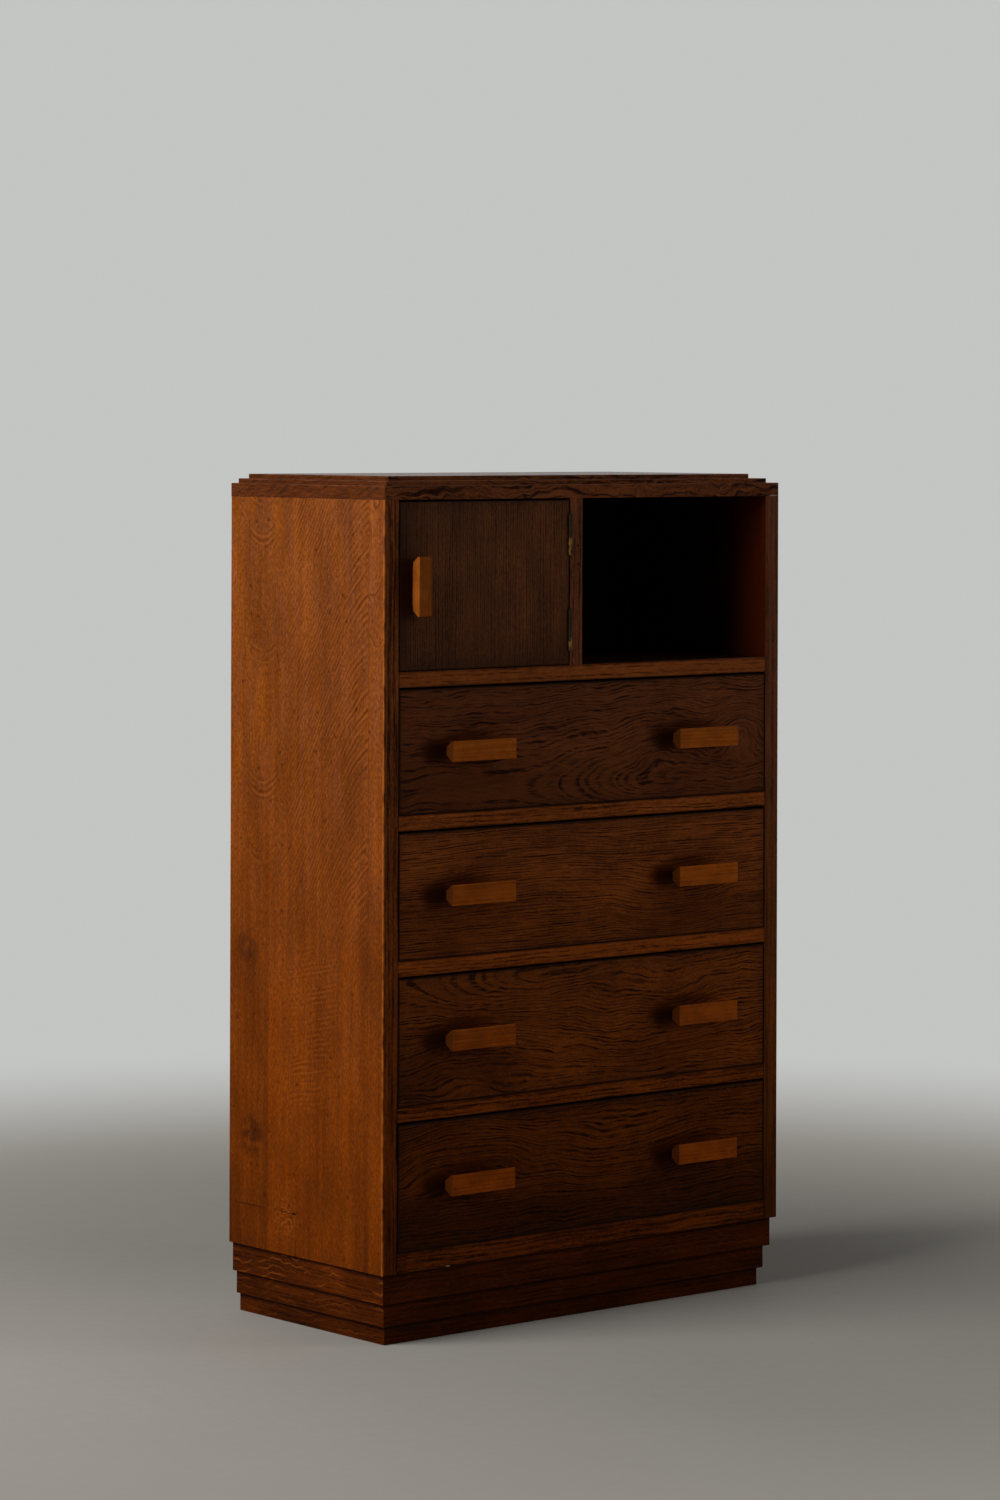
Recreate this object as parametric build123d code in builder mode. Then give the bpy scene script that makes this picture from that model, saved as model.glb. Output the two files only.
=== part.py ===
from build123d import *
import math
import os

# Overall size of the chest, in millimetres
width = 635.0
depth = 296.5
handle_projection = 21.6

# Heights, from the floor up
plinth_steps = [(22.0, 17.5), (50.0, 12.0), (85.5, 6.0)]  # top of each step, inset from the sides and front
bottom_rail_height = 23.5
drawer_openings = [150.0, 152.5, 152.5, 152.5]  # from the top drawer down
rail_thickness = 18.0
shelf_thickness = 18.5
bay_height = 201.5
top_boards = [("lower", 16.5, 0.0), ("middle", 5.5, 11.0), ("upper", 5.5, 26.6)]  # thickness, inset

# Boards of the carcase
side_thickness = 22.0
back_thickness = 8.0
rabbet_width = 9.0
partition_thickness = 19.5
partition_left = -29.5
plinth_inner_inset = 40.0
plinth_back_thickness = 20.0
rail_depth = 60.0
runner_width = 24.0
housing_depth = 7.0
tongue_length = 5.0
housing_setback = 12.0
tenon_length = 10.0
tenon_thickness = 8.0
tenon_width = 36.0
edge_round = 0.8
rail_round = 0.5
back_screw_count = 5

# Drawers
drawer_length = 278.0
drawer_front_thickness = 20.0
drawer_side_thickness = 11.0
drawer_back_thickness = 10.0
drawer_bottom_thickness = 5.0
drawer_gap_side = 1.3
drawer_gap_top = 2.5
drawer_gap_bottom = 0.5
drawer_side_drop = 4.0
drawer_back_drop = 6.0
drawer_back_setback = 12.0
groove_height = 10.0
groove_depth = 5.0
front_groove_depth = 6.0
back_housing = 4.0
tail_length = 14.0
tail_share = 0.55
tail_flare = 14.0 / 6.0
tail_count = 3
stop_size = (40.0, 12.0, 5.0)
stop_gap = 0.3

# Handles of the drawers and of the door
handle_length = 97.0
handle_height = 24.3
handle_back_height = 10.0
handle_head_depth = 13.5
handle_spacing = 361.2
handle_end_overhang = 10.0
handle_flat = 3.0
handle_screw_spacing = 54.0
door_handle_width = 18.6
door_handle_height = 70.0
door_handle_back_height = 57.0
door_handle_neck_height = 46.0
door_handle_head_depth = 11.5
door_handle_projection = 18.0
door_handle_x = -270.0
door_handle_screw_spacing = 30.0
handle_round = 0.8
slope_round = 2.5

# Door and its hinges
door_thickness = 19.0
door_gap_side = 1.5
door_gap_hinge = 2.0
door_gap_top = 2.5
door_gap_bottom = 1.0
hinge_length = 50.8
hinge_leaf_width = 15.0
hinge_leaf_thickness = 1.4
hinge_spread = 114.4
knuckle_radius = 2.8
knuckle_count = 5
knuckle_gap = 0.3
knuckle_relief = 0.4
pin_radius = 1.3
running_clearance = 0.05
hinge_proud = 1.0
hinge_screw_rows = [(-17.0, 6.5), (0.0, 10.5), (17.0, 6.5)]  # height from the hinge's middle, distance from the front
door_stop_size = 12.0

# Screws: shank radius, head radius and length
handle_screw = (2.0, 3.9, 34.0)
door_handle_screw = (2.0, 3.9, 30.0)
hinge_screw = (1.3, 2.5, 13.0)
back_screw = (1.8, 3.6, 24.0)
screw_clearance = 0.12
screw_slot = (0.8, 0.7)
sink_half_angle = 41.0

# Places worked out from the sizes above
half_width = width / 2
half_inside = half_width - side_thickness
front = -(depth - handle_projection) / 2
back = front + depth
back_inner = back - back_thickness
case_bottom = plinth_steps[-1][0]

drawer_levels = []
rail_tops = []
level = case_bottom + bottom_rail_height
for opening in reversed(drawer_openings):
    rail_tops.insert(0, level)
    drawer_levels.insert(0, (level, level + opening))
    level += opening + rail_thickness
shelf_bottom = drawer_levels[0][1]
shelf_top = shelf_bottom + shelf_thickness
case_top = shelf_top + bay_height
partition_right = partition_left + partition_thickness
tenon_span = (front + housing_setback, front + housing_setback + tenon_width)

door_left = -half_inside + door_gap_side
door_right = partition_left - door_gap_hinge
door_bottom = shelf_top + door_gap_bottom
door_top = case_top - door_gap_top
door_middle = (door_bottom + door_top) / 2
hinge_x = partition_left - door_gap_hinge / 2
hinge_y = front - hinge_proud
hinge_centres = [door_middle - hinge_spread / 2, door_middle + hinge_spread / 2]


def fill(x, y, z, mode=Mode.ADD):
    """A block between the low and high ends given along X, Y and Z."""
    with Locations(((x[0] + x[1]) / 2, (y[0] + y[1]) / 2, (z[0] + z[1]) / 2)):
        Box(x[1] - x[0], y[1] - y[0], z[1] - z[0], mode=mode)


def keep(piece, label):
    """Name a finished piece and write its file."""
    piece.part.label = label
    export_step(piece.part, f"parts/{label}.step")


def screw(plane, size):
    """A slotted countersunk wood screw, its head flush with the plane and its shank going in."""
    radius, head_radius, length = size
    slot_width, slot_depth = screw_slot
    head_height = (head_radius - radius) / math.tan(math.radians(sink_half_angle))
    down = (Align.CENTER, Align.CENTER, Align.MAX)
    with Locations(plane):
        Cylinder(radius, length, align=down)
        Cone(radius, head_radius, head_height, align=down)
        Box(3 * head_radius, slot_width, slot_depth, align=down, mode=Mode.SUBTRACT)


def screw_hole(plane, size, depth):
    """The countersunk clearance hole for a screw."""
    radius, head_radius, _ = size
    with Locations(plane):
        CounterSinkHole(radius + screw_clearance, head_radius + screw_clearance, depth)


def pilot_hole(plane, size, depth):
    """The plain hole that a screw's shank bites into."""
    with Locations(plane):
        Hole(size[0] + screw_clearance, depth)


def drawer_screw_planes(y, centre_x, centre_z):
    """Planes at depth y, facing into the drawer, one for each screw of a handle."""
    offset = handle_screw_spacing / 2
    return [Plane((centre_x + dx, y, centre_z), z_dir=(0, 1, 0)) for dx in (-offset, offset)]


def door_screw_planes(y):
    """Planes at depth y, facing into the cupboard, one for each screw of the door's handle."""
    offset = door_handle_screw_spacing / 2
    return [Plane((door_handle_x, y, door_middle + dz), z_dir=(0, 1, 0)) for dz in (-offset, offset)]


def hinge_screw_planes(x, facing):
    """Planes at x, facing left (-1) or right (+1), one for each screw of both hinges."""
    return [
        Plane((x, front + inset, centre + dz), z_dir=(facing, 0, 0))
        for centre in hinge_centres
        for dz, inset in hinge_screw_rows
    ]


def side_board(sign, label):
    """A side: stopped housing for the shelf, mortises for the rails, rabbet for the back."""
    inner = sign * half_inside
    outer = sign * half_width
    housing_end = inner + sign * housing_depth
    mortise_end = inner + sign * tenon_length
    rabbet_end = inner + sign * rabbet_width
    with BuildPart() as side:
        fill(sorted((inner, outer)), (front, back), (case_bottom, case_top))
        fill(sorted((inner, rabbet_end)), (back_inner, back), (case_bottom, case_top), Mode.SUBTRACT)
        fill(
            sorted((inner, housing_end)),
            (front + housing_setback, back_inner),
            (shelf_bottom, shelf_top),
            Mode.SUBTRACT,
        )
        for top in rail_tops:
            fill(sorted((inner, mortise_end)), tenon_span, tenon_heights(top), Mode.SUBTRACT)
        for plane in back_screw_planes(back_inner, sign):
            pilot_hole(plane, back_screw, back_screw[2] - back_thickness)
        outer_face = side.faces().sort_by(Axis.X)[0 if sign < 0 else -1]
        fillet(outer_face.edges().filter_by(Axis.Z), edge_round)
        front_face = side.faces().sort_by(Axis.Y)[0]
        fillet(front_face.edges().filter_by(Axis.Z).sort_by(Axis.X)[-1 if sign < 0 else 0], rail_round)
    keep(side, label)


def tenon_heights(rail_top):
    """Low and high ends of the stub tenon of the rail whose top is given."""
    middle = rail_top - rail_thickness / 2
    return (middle - tenon_thickness / 2, middle + tenon_thickness / 2)


def back_screw_planes(y, sign):
    """Planes at depth y, facing out of the back, along one edge of the back panel."""
    pitch = (case_top - case_bottom) / back_screw_count
    x = sign * (half_inside + rabbet_width / 2)
    heights = [case_bottom + pitch * (i + 0.5) for i in range(back_screw_count)]
    return [Plane((x, y, z), z_dir=(0, 1, 0)) for z in heights]


os.makedirs("parts", exist_ok=True)

# Sides of the carcase
side_board(-1, "left_side")
side_board(1, "right_side")

# Stepped top: three boards, flush at the back, each set in from the one below
board_bottom = case_top
for board_name, board_thickness, inset in top_boards:
    board_top = board_bottom + board_thickness
    with BuildPart() as top_board:
        fill((-half_width + inset, half_width - inset), (front + inset, back), (board_bottom, board_top))
        fillet(top_board.edges().filter_by(Axis.Z).group_by(Axis.Y)[0], edge_round)
        fillet(top_board.faces().sort_by(Axis.Z)[-1].edges(), edge_round)
        if board_name == "lower":
            fill(
                (partition_left, partition_right),
                (front + housing_setback, back_inner),
                (case_top, case_top + tongue_length),
                Mode.SUBTRACT,
            )
    keep(top_board, f"top_{board_name}_board")
    board_bottom = board_top

# Shelf under the door bay, housed in both sides and grooved for the partition
with BuildPart() as shelf_board:
    fill((-half_inside, half_inside), (front, back_inner), (shelf_bottom, shelf_top))
    fillet(shelf_board.faces().sort_by(Axis.Y)[0].edges().filter_by(Axis.X), rail_round)
    fill(
        (-half_inside - housing_depth, half_inside + housing_depth),
        (front + housing_setback, back_inner),
        (shelf_bottom, shelf_top),
    )
    fill(
        (partition_left, partition_right),
        (front + housing_setback, back_inner),
        (shelf_top - tongue_length, shelf_top),
        Mode.SUBTRACT,
    )
keep(shelf_board, "shelf_board")

# Partition between the door bay and the open compartment, cut away for the hinges
with BuildPart() as partition:
    fill((partition_left, partition_right), (front, back_inner), (shelf_top, case_top))
    fillet(partition.faces().sort_by(Axis.Y)[0].edges().filter_by(Axis.Z), rail_round)
    fill(
        (partition_left, partition_right),
        (front + housing_setback, back_inner),
        (shelf_top - tongue_length, case_top + tongue_length),
    )
    for hinge_z in hinge_centres:
        fill(
            (partition_left, partition_left + hinge_leaf_thickness),
            (front, front + hinge_leaf_width),
            (hinge_z - hinge_length / 2, hinge_z + hinge_length / 2),
            Mode.SUBTRACT,
        )
        with Locations((hinge_x, hinge_y, hinge_z)):
            Cylinder(knuckle_radius + knuckle_relief, hinge_length + 2 * knuckle_relief, mode=Mode.SUBTRACT)
    for plane in hinge_screw_planes(partition_left + hinge_leaf_thickness, -1):
        pilot_hole(plane, hinge_screw, hinge_screw[2])
keep(partition, "partition")

# Rails between the drawers, with a stub tenon at each end
rail_names = ["rail_2", "rail_3", "rail_4", "bottom_rail"]
for rail_name, rail_top in zip(rail_names, rail_tops):
    rail_bottom = case_bottom if rail_name == "bottom_rail" else rail_top - rail_thickness
    with BuildPart() as rail:
        fill((-half_inside, half_inside), (front, front + rail_depth), (rail_bottom, rail_top))
        fillet(rail.faces().sort_by(Axis.Y)[0].edges().filter_by(Axis.X), rail_round)
        fill(
            (-half_inside - tenon_length, half_inside + tenon_length),
            tenon_span,
            tenon_heights(rail_top),
        )
    keep(rail, rail_name)

# Runners that carry the drawers, level with the rails, one on each side
with BuildPart() as drawer_runners:
    for rail_top in rail_tops:
        for sign in (-1, 1):
            fill(
                sorted((sign * half_inside, sign * (half_inside - runner_width))),
                (front + rail_depth, back_inner),
                (rail_top - rail_thickness, rail_top),
            )
keep(drawer_runners, "drawer_runners")

# Stops on the rails, just behind the drawer fronts
with BuildPart() as drawer_stops:
    stop_front = front + drawer_front_thickness + stop_gap
    for rail_top in rail_tops:
        for sign in (-1, 1):
            stop_x = sign * handle_spacing / 2
            fill(
                (stop_x - stop_size[0] / 2, stop_x + stop_size[0] / 2),
                (stop_front, stop_front + stop_size[1]),
                (rail_top, rail_top + stop_size[2]),
            )
keep(drawer_stops, "drawer_stops")

# Strip that the closed door rests against
with BuildPart() as door_stop:
    fill(
        (-half_inside, -half_inside + door_stop_size),
        (front + door_thickness + stop_gap, front + door_thickness + stop_gap + door_stop_size),
        (shelf_top, case_top),
    )
keep(door_stop, "door_stop")

# Back panel in the rabbets of the sides, with its screws
with BuildPart() as back_panel:
    panel_half = half_inside + rabbet_width
    fill((-panel_half, panel_half), (back_inner, back), (case_bottom, case_top))
    for sign in (-1, 1):
        for plane in back_screw_planes(back, sign):
            screw_hole(plane, back_screw, back_thickness)
keep(back_panel, "back_panel")

with BuildPart() as back_screws:
    for sign in (-1, 1):
        for plane in back_screw_planes(back, sign):
            screw(plane, back_screw)
keep(back_screws, "back_screws")

# Stepped plinth: three boards of one section, mitred at the front corners, and a plain back board
plinth_section = [(plinth_inner_inset, 0.0)]
step_bottom = 0.0
for step_top, inset in plinth_steps:
    plinth_section.append((inset, step_bottom))
    plinth_section.append((inset, step_top))
    step_bottom = step_top
plinth_section.append((plinth_inner_inset, case_bottom))
step_edges = plinth_section[1:-1:2] + [plinth_section[-2]]
left_mitre = Plane((-half_width, front, 0), z_dir=(1, -1, 0))
right_mitre = Plane((half_width, front, 0), z_dir=(-1, -1, 0))

with BuildPart() as plinth_front:
    with BuildSketch(Plane.YZ.offset(-half_width)) as section:
        Polygon(*[(front + inset, z) for inset, z in plinth_section])
        corners = [(front + inset, z) for inset, z in step_edges]
        fillet([section.vertices().sort_by_distance(corner)[0] for corner in corners], edge_round)
    extrude(amount=width)
    split(bisect_by=left_mitre, keep=Keep.TOP)
    split(bisect_by=right_mitre, keep=Keep.TOP)
keep(plinth_front, "plinth_front")

for sign, plinth_name, mitre in ((-1, "plinth_left", left_mitre), (1, "plinth_right", right_mitre)):
    with BuildPart() as plinth_side:
        with BuildSketch(Plane.XZ.offset(-back)) as section:
            Polygon(*[(sign * (half_width - inset), z) for inset, z in plinth_section])
            corners = [(sign * (half_width - inset), z) for inset, z in step_edges]
            fillet([section.vertices().sort_by_distance(corner)[0] for corner in corners], edge_round)
        extrude(amount=depth)
        split(bisect_by=mitre, keep=Keep.BOTTOM)
    keep(plinth_side, plinth_name)

with BuildPart() as plinth_back:
    plinth_half = half_width - plinth_inner_inset
    fill((-plinth_half, plinth_half), (back - plinth_back_thickness, back), (0.0, case_bottom))
keep(plinth_back, "plinth_back")


def tail_shapes(low, high):
    """Dovetails of a drawer side, in the plane of its length and height: wider at the tip."""
    pitch = (high - low) / tail_count
    root = front + drawer_front_thickness
    tip = root - tail_length
    half_root = pitch * tail_share / 2
    half_tip = half_root + tail_flare
    for i in range(tail_count):
        middle = low + pitch * (i + 0.5)
        Polygon(
            (root, middle - half_root),
            (root, middle + half_root),
            (tip, middle + half_tip),
            (tip, middle - half_tip),
        )


def bar_handle(label, centre, size, back_height, head_depth, neck, screw_planes, pilot_depth):
    """A bar handle: its head is square at the front and slopes in towards the back, on a smaller neck."""
    centre_x, centre_z = centre
    length_x, height, projection = size
    neck_x, neck_z = neck
    face = front - projection
    head_back = face + head_depth
    half_height = height / 2
    half_back = back_height / 2
    with BuildPart() as handle:
        with BuildSketch(Plane.YZ.offset(centre_x - length_x / 2)) as section:
            Polygon(
                (face, centre_z - half_height),
                (face, centre_z + half_height),
                (face + handle_flat, centre_z + half_height),
                (head_back, centre_z + half_back),
                (head_back, centre_z - half_back),
                (face + handle_flat, centre_z - half_height),
            )
            fillet(section.vertices().group_by(Axis.X)[1], slope_round)
        extrude(amount=length_x)
        fillet(handle.faces().sort_by(Axis.Y)[0].edges(), handle_round)
        fill(
            (centre_x - neck_x / 2, centre_x + neck_x / 2),
            (head_back, front),
            (centre_z - neck_z / 2, centre_z + neck_z / 2),
        )
        for plane in screw_planes:
            pilot_hole(plane, handle_screw, pilot_depth)
    keep(handle, label)


def drawer(number, opening_bottom, opening_top):
    """One drawer: dovetailed box with a loose bottom, and a front with two handles."""
    name = f"drawer_{number}"
    low = opening_bottom + drawer_gap_bottom
    high = opening_top - drawer_gap_top
    side_high = high - drawer_side_drop
    centre_z = (low + high) / 2
    half_out = half_inside - drawer_gap_side
    half_in = half_out - drawer_side_thickness
    front_back = front + drawer_front_thickness
    end = front + drawer_length
    groove = (low + groove_height, low + groove_height + drawer_bottom_thickness)
    handle_places = [("left", -handle_spacing / 2), ("right", handle_spacing / 2)]
    back_span = (end - drawer_back_setback - drawer_back_thickness, end - drawer_back_setback)
    back_heights = (groove[1], side_high - drawer_back_drop)

    with BuildPart() as drawer_front:
        fill((-half_out, half_out), (front, front_back), (low, high))
        fill((-half_in, half_in), (front_back - front_groove_depth, front_back), groove, Mode.SUBTRACT)
        for x in (-half_out, half_in):
            with BuildSketch(Plane.YZ.offset(x)):
                tail_shapes(low, side_high)
            extrude(amount=drawer_side_thickness, mode=Mode.SUBTRACT)
        for _, x in handle_places:
            for plane in drawer_screw_planes(front_back, x, centre_z):
                screw_hole(plane, handle_screw, drawer_front_thickness)
        fillet(drawer_front.faces().sort_by(Axis.Y)[0].outer_wire().edges(), edge_round)
    keep(drawer_front, f"{name}_front")

    for sign, side_name in ((-1, "left"), (1, "right")):
        outer = sign * half_out
        inner = sign * half_in
        with BuildPart() as drawer_side:
            fill(sorted((inner, outer)), (front_back, end), (low, side_high))
            with BuildSketch(Plane.YZ.offset(min(inner, outer))):
                tail_shapes(low, side_high)
            extrude(amount=drawer_side_thickness)
            fill(sorted((inner, inner + sign * groove_depth)), (front_back, end), groove, Mode.SUBTRACT)
            fill(sorted((inner, inner + sign * back_housing)), back_span, back_heights, Mode.SUBTRACT)
        keep(drawer_side, f"{name}_{side_name}_side")

    with BuildPart() as drawer_back:
        fill((-half_in - back_housing, half_in + back_housing), back_span, back_heights)
    keep(drawer_back, f"{name}_back")

    with BuildPart() as drawer_bottom:
        fill((-half_in - groove_depth, half_in + groove_depth), (front_back, end), groove)
        fill((-half_in, half_in), (front_back - front_groove_depth, front_back), groove)
    keep(drawer_bottom, f"{name}_bottom")

    for handle_side, x in handle_places:
        bar_handle(
            f"{name}_handle_{handle_side}",
            (x, centre_z),
            (handle_length, handle_height, handle_projection),
            handle_back_height,
            handle_head_depth,
            (handle_length - 2 * handle_end_overhang, handle_back_height),
            drawer_screw_planes(front, x, centre_z),
            handle_screw[2] - drawer_front_thickness,
        )

    with BuildPart() as handle_screws:
        for _, x in handle_places:
            for plane in drawer_screw_planes(front_back, x, centre_z):
                screw(plane, handle_screw)
    keep(handle_screws, f"{name}_handle_screws")


for drawer_number, (opening_bottom, opening_top) in enumerate(drawer_levels, start=1):
    drawer(drawer_number, opening_bottom, opening_top)

# Door: one flush board, cut away at its right edge for the hinges
with BuildPart() as door_panel:
    fill((door_left, door_right), (front, front + door_thickness), (door_bottom, door_top))
    fillet(door_panel.faces().sort_by(Axis.Y)[0].edges(), edge_round)
    for hinge_z in hinge_centres:
        fill(
            (door_right - hinge_leaf_thickness, door_right),
            (front, front + hinge_leaf_width),
            (hinge_z - hinge_length / 2, hinge_z + hinge_length / 2),
            Mode.SUBTRACT,
        )
        with Locations((hinge_x, hinge_y, hinge_z)):
            Cylinder(knuckle_radius + knuckle_relief, hinge_length + 2 * knuckle_relief, mode=Mode.SUBTRACT)
    for plane in hinge_screw_planes(door_right - hinge_leaf_thickness, 1):
        pilot_hole(plane, hinge_screw, hinge_screw[2])
    for plane in door_screw_planes(front + door_thickness):
        screw_hole(plane, door_handle_screw, door_thickness)
keep(door_panel, "door_panel")

# Upright handle of the door, its ends sloped in towards the door
bar_handle(
    "door_handle",
    (door_handle_x, door_middle),
    (door_handle_width, door_handle_height, door_handle_projection),
    door_handle_back_height,
    door_handle_head_depth,
    (handle_back_height, door_handle_neck_height),
    door_screw_planes(front),
    door_handle_screw[2] - door_thickness,
)

with BuildPart() as door_handle_screws:
    for plane in door_screw_planes(front + door_thickness):
        screw(plane, door_handle_screw)
keep(door_handle_screws, "door_handle_screws")


def hinge_leaves(plate_x, facing, knuckles, bore_radius, label):
    """One leaf of each hinge: a plate with its share of the knuckles, drilled for pin and screws."""
    pitch = hinge_length / knuckle_count
    plate_front = hinge_y + knuckle_radius + knuckle_relief
    with BuildPart() as leaves:
        for hinge_z in hinge_centres:
            low = hinge_z - hinge_length / 2
            fill(plate_x, (plate_front, front + hinge_leaf_width), (low, low + hinge_length))
            for i in knuckles:
                ends = (low + i * pitch + knuckle_gap / 2, low + (i + 1) * pitch - knuckle_gap / 2)
                fill(plate_x, (hinge_y, plate_front), ends)
                with Locations((hinge_x, hinge_y, sum(ends) / 2)):
                    Cylinder(knuckle_radius, ends[1] - ends[0])
            with Locations((hinge_x, hinge_y, hinge_z)):
                Cylinder(bore_radius, hinge_length, mode=Mode.SUBTRACT)
        plate_face = plate_x[0] if facing < 0 else plate_x[1]
        for plane in hinge_screw_planes(plate_face, facing):
            screw_hole(plane, hinge_screw, hinge_leaf_thickness)
    keep(leaves, label)


# Butt hinges: three knuckles on the partition's leaf, two on the door's leaf, and a loose pin
hinge_leaves(
    (partition_left, partition_left + hinge_leaf_thickness),
    -1,
    range(0, knuckle_count, 2),
    pin_radius,
    "hinge_frame_leaves",
)
hinge_leaves(
    (door_right - hinge_leaf_thickness, door_right),
    1,
    range(1, knuckle_count, 2),
    pin_radius + running_clearance,
    "hinge_door_leaves",
)

with BuildPart() as hinge_pins:
    for hinge_z in hinge_centres:
        with Locations((hinge_x, hinge_y, hinge_z)):
            Cylinder(pin_radius, hinge_length)
keep(hinge_pins, "hinge_pins")

with BuildPart() as hinge_frame_screws:
    for plane in hinge_screw_planes(partition_left, -1):
        screw(plane, hinge_screw)
keep(hinge_frame_screws, "hinge_frame_screws")

with BuildPart() as hinge_door_screws:
    for plane in hinge_screw_planes(door_right, 1):
        screw(plane, hinge_screw)
keep(hinge_door_screws, "hinge_door_screws")
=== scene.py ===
"""An oak chest with four drawers, a small door and an open compartment, dressed around its CAD frame."""
import math

import bpy
import numpy as np
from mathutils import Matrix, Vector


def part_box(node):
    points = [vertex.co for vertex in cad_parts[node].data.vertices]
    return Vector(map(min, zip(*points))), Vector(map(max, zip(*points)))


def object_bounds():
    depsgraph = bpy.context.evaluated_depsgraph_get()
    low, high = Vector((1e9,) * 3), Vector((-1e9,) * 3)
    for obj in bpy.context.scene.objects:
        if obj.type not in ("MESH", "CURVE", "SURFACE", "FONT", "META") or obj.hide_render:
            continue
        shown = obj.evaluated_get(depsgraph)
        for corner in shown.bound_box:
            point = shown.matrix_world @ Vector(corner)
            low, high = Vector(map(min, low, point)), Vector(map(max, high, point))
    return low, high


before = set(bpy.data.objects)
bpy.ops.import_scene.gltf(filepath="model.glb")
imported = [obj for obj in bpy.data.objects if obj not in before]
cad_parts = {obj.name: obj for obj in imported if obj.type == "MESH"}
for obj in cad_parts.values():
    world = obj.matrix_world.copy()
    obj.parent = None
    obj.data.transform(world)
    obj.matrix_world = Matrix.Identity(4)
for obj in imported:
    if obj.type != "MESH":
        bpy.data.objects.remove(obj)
cad_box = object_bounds()


# Carcase sides
# Two wide boards of quarter-sawn oak, glued up from upright strips and stained a warm orange brown.
# Their rays cross the grain as feathery lines, and the shelf, the rails and the back are let into them.
class Value:
    """One number over a surface: a socket whose arithmetic adds Math nodes to its tree."""

    def __init__(self, graph, socket):
        self.graph = graph
        self.socket = socket

    def apply(self, operation, *others):
        return self.graph.node("ShaderNodeMath", {"operation": operation}, [self, *others])

    def __add__(self, other):
        return self.apply("ADD", other)

    __radd__ = __add__

    def __mul__(self, other):
        return self.apply("MULTIPLY", other)

    __rmul__ = __mul__

    def __sub__(self, other):
        return self.apply("SUBTRACT", other)

    def __rsub__(self, other):
        return self.graph.node("ShaderNodeMath", {"operation": "SUBTRACT"}, [other, self])

    def __truediv__(self, other):
        return self.apply("DIVIDE", other)

    def __pow__(self, other):
        return self.apply("POWER", other)

    def __abs__(self):
        return self.apply("ABSOLUTE")

    def least(self, other):
        return self.apply("MINIMUM", other)

    def most(self, other):
        return self.apply("MAXIMUM", other)

    def wave(self):
        """A sine with one full turn to the unit."""
        return (self * (2.0 * math.pi)).apply("SINE")

    def between(self, low, high):
        """0 at low and 1 at high, with a smooth rise, or a fall where low is the larger."""
        settings = {"interpolation_type": "SMOOTHSTEP"}
        return self.graph.node("ShaderNodeMapRange", settings, {0: self, 1: low, 2: high})

    def within(self, rise, fall):
        """0 to 1 over the rise and back to 0 over the fall, each a pair of places in rising order."""
        return self.between(rise[0], rise[1]) * self.between(fall[1], fall[0])

    def near(self, place, reach):
        """1 at a place, falling to 0 at its reach on either side."""
        return abs((self - place) / reach).between(1.0, 0.0)

    def output(self, name):
        """Another output of the same node."""
        return Value(self.graph, self.socket.node.outputs[name])


class Graph:
    """A node tree, with one method that adds any node."""

    def __init__(self, tree):
        self.tree = tree

    def node(self, kind, settings, sockets, out=0):
        """Adds a node: first its settings, then the values or links of its sockets. Gives one output."""
        node = self.tree.nodes.new(kind)
        for name, setting in settings.items():
            setattr(node, name, setting)
        pairs = sockets.items() if isinstance(sockets, dict) else enumerate(sockets)
        for key, value in pairs:
            if isinstance(value, Value):
                self.tree.links.new(value.socket, node.inputs[key])
            else:
                node.inputs[key].default_value = value
        return Value(self, node.outputs[out])

    def join(self, value, node, socket):
        """Links a value to a node that the tree already has."""
        self.tree.links.new(value.socket, node.inputs[socket])

    def mix(self, factor, first, second, blend="MIX"):
        """From the first colour at factor 0 to the second at 1."""
        settings = {"data_type": "RGBA", "blend_type": blend, "clamp_factor": True}
        return self.node("ShaderNodeMix", settings, {0: factor, 6: first, 7: second}, 2)

    def multiply(self, colour, cast):
        """A colour times a tone or another colour."""
        return self.mix(1.0, colour, cast, "MULTIPLY")


class Finish(Graph):
    """One material: its shader and its Object coordinates in metres."""

    def __init__(self, name, **constants):
        self.material = bpy.data.materials.new(name)
        self.material.use_nodes = True
        super().__init__(self.material.node_tree)
        self.shader = self.tree.nodes["Principled BSDF"]
        for socket, constant in constants.items():
            self.shader.inputs[socket.replace("_", " ")].default_value = constant
        self.place = self.node("ShaderNodeTexCoord", {}, {}, "Object")
        self.x = self.node("ShaderNodeSeparateXYZ", {}, [self.place], "X")
        self.y = self.x.output("Y")
        self.z = self.x.output("Z")

    def noise(self, a, b, c, detail=1.0):
        """Smooth noise, about 0.5 on average, over three numbers that each run one cell to the unit."""
        point = self.node("ShaderNodeCombineXYZ", {}, [a, b, c])
        return self.node("ShaderNodeTexNoise", {}, {"Vector": point, "Scale": 1.0, "Detail": detail})

    def facing(self, axis):
        """How squarely the surface faces along X, Y or Z, either way."""
        normal = self.node("ShaderNodeNewGeometry", {}, {}, "Normal")
        return abs(self.node("ShaderNodeSeparateXYZ", {}, [normal], axis))

    def spot(self, **axes):
        """1 at a middle, falling to 0 at a reach: axis=(middle, reach) for each axis that counts."""
        total = 0.0
        for axis, (middle, reach) in axes.items():
            total = ((getattr(self, axis) - middle) / reach) ** 2.0 + total
        return total.between(1.0, 0.0)

    def paint(self, colour):
        """Joins the colour to the shader, and keeps it so that more can go over it."""
        self.colour = colour
        self.join(colour, self.shader, "Base Color")

    def surface(self, colour, roughness, height, relief):
        """Joins the colour, the roughness and a height, whose full range is the relief in metres."""
        self.paint(colour)
        self.join(roughness, self.shader, "Roughness")
        bump = self.node("ShaderNodeBump", {}, {"Distance": relief, "Height": height}, "Normal")
        self.join(bump, self.shader, "Normal")

    def put_on(self, *names):
        for name in names:
            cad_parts[name].data.materials.clear()
            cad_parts[name].data.materials.append(self.material)


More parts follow.
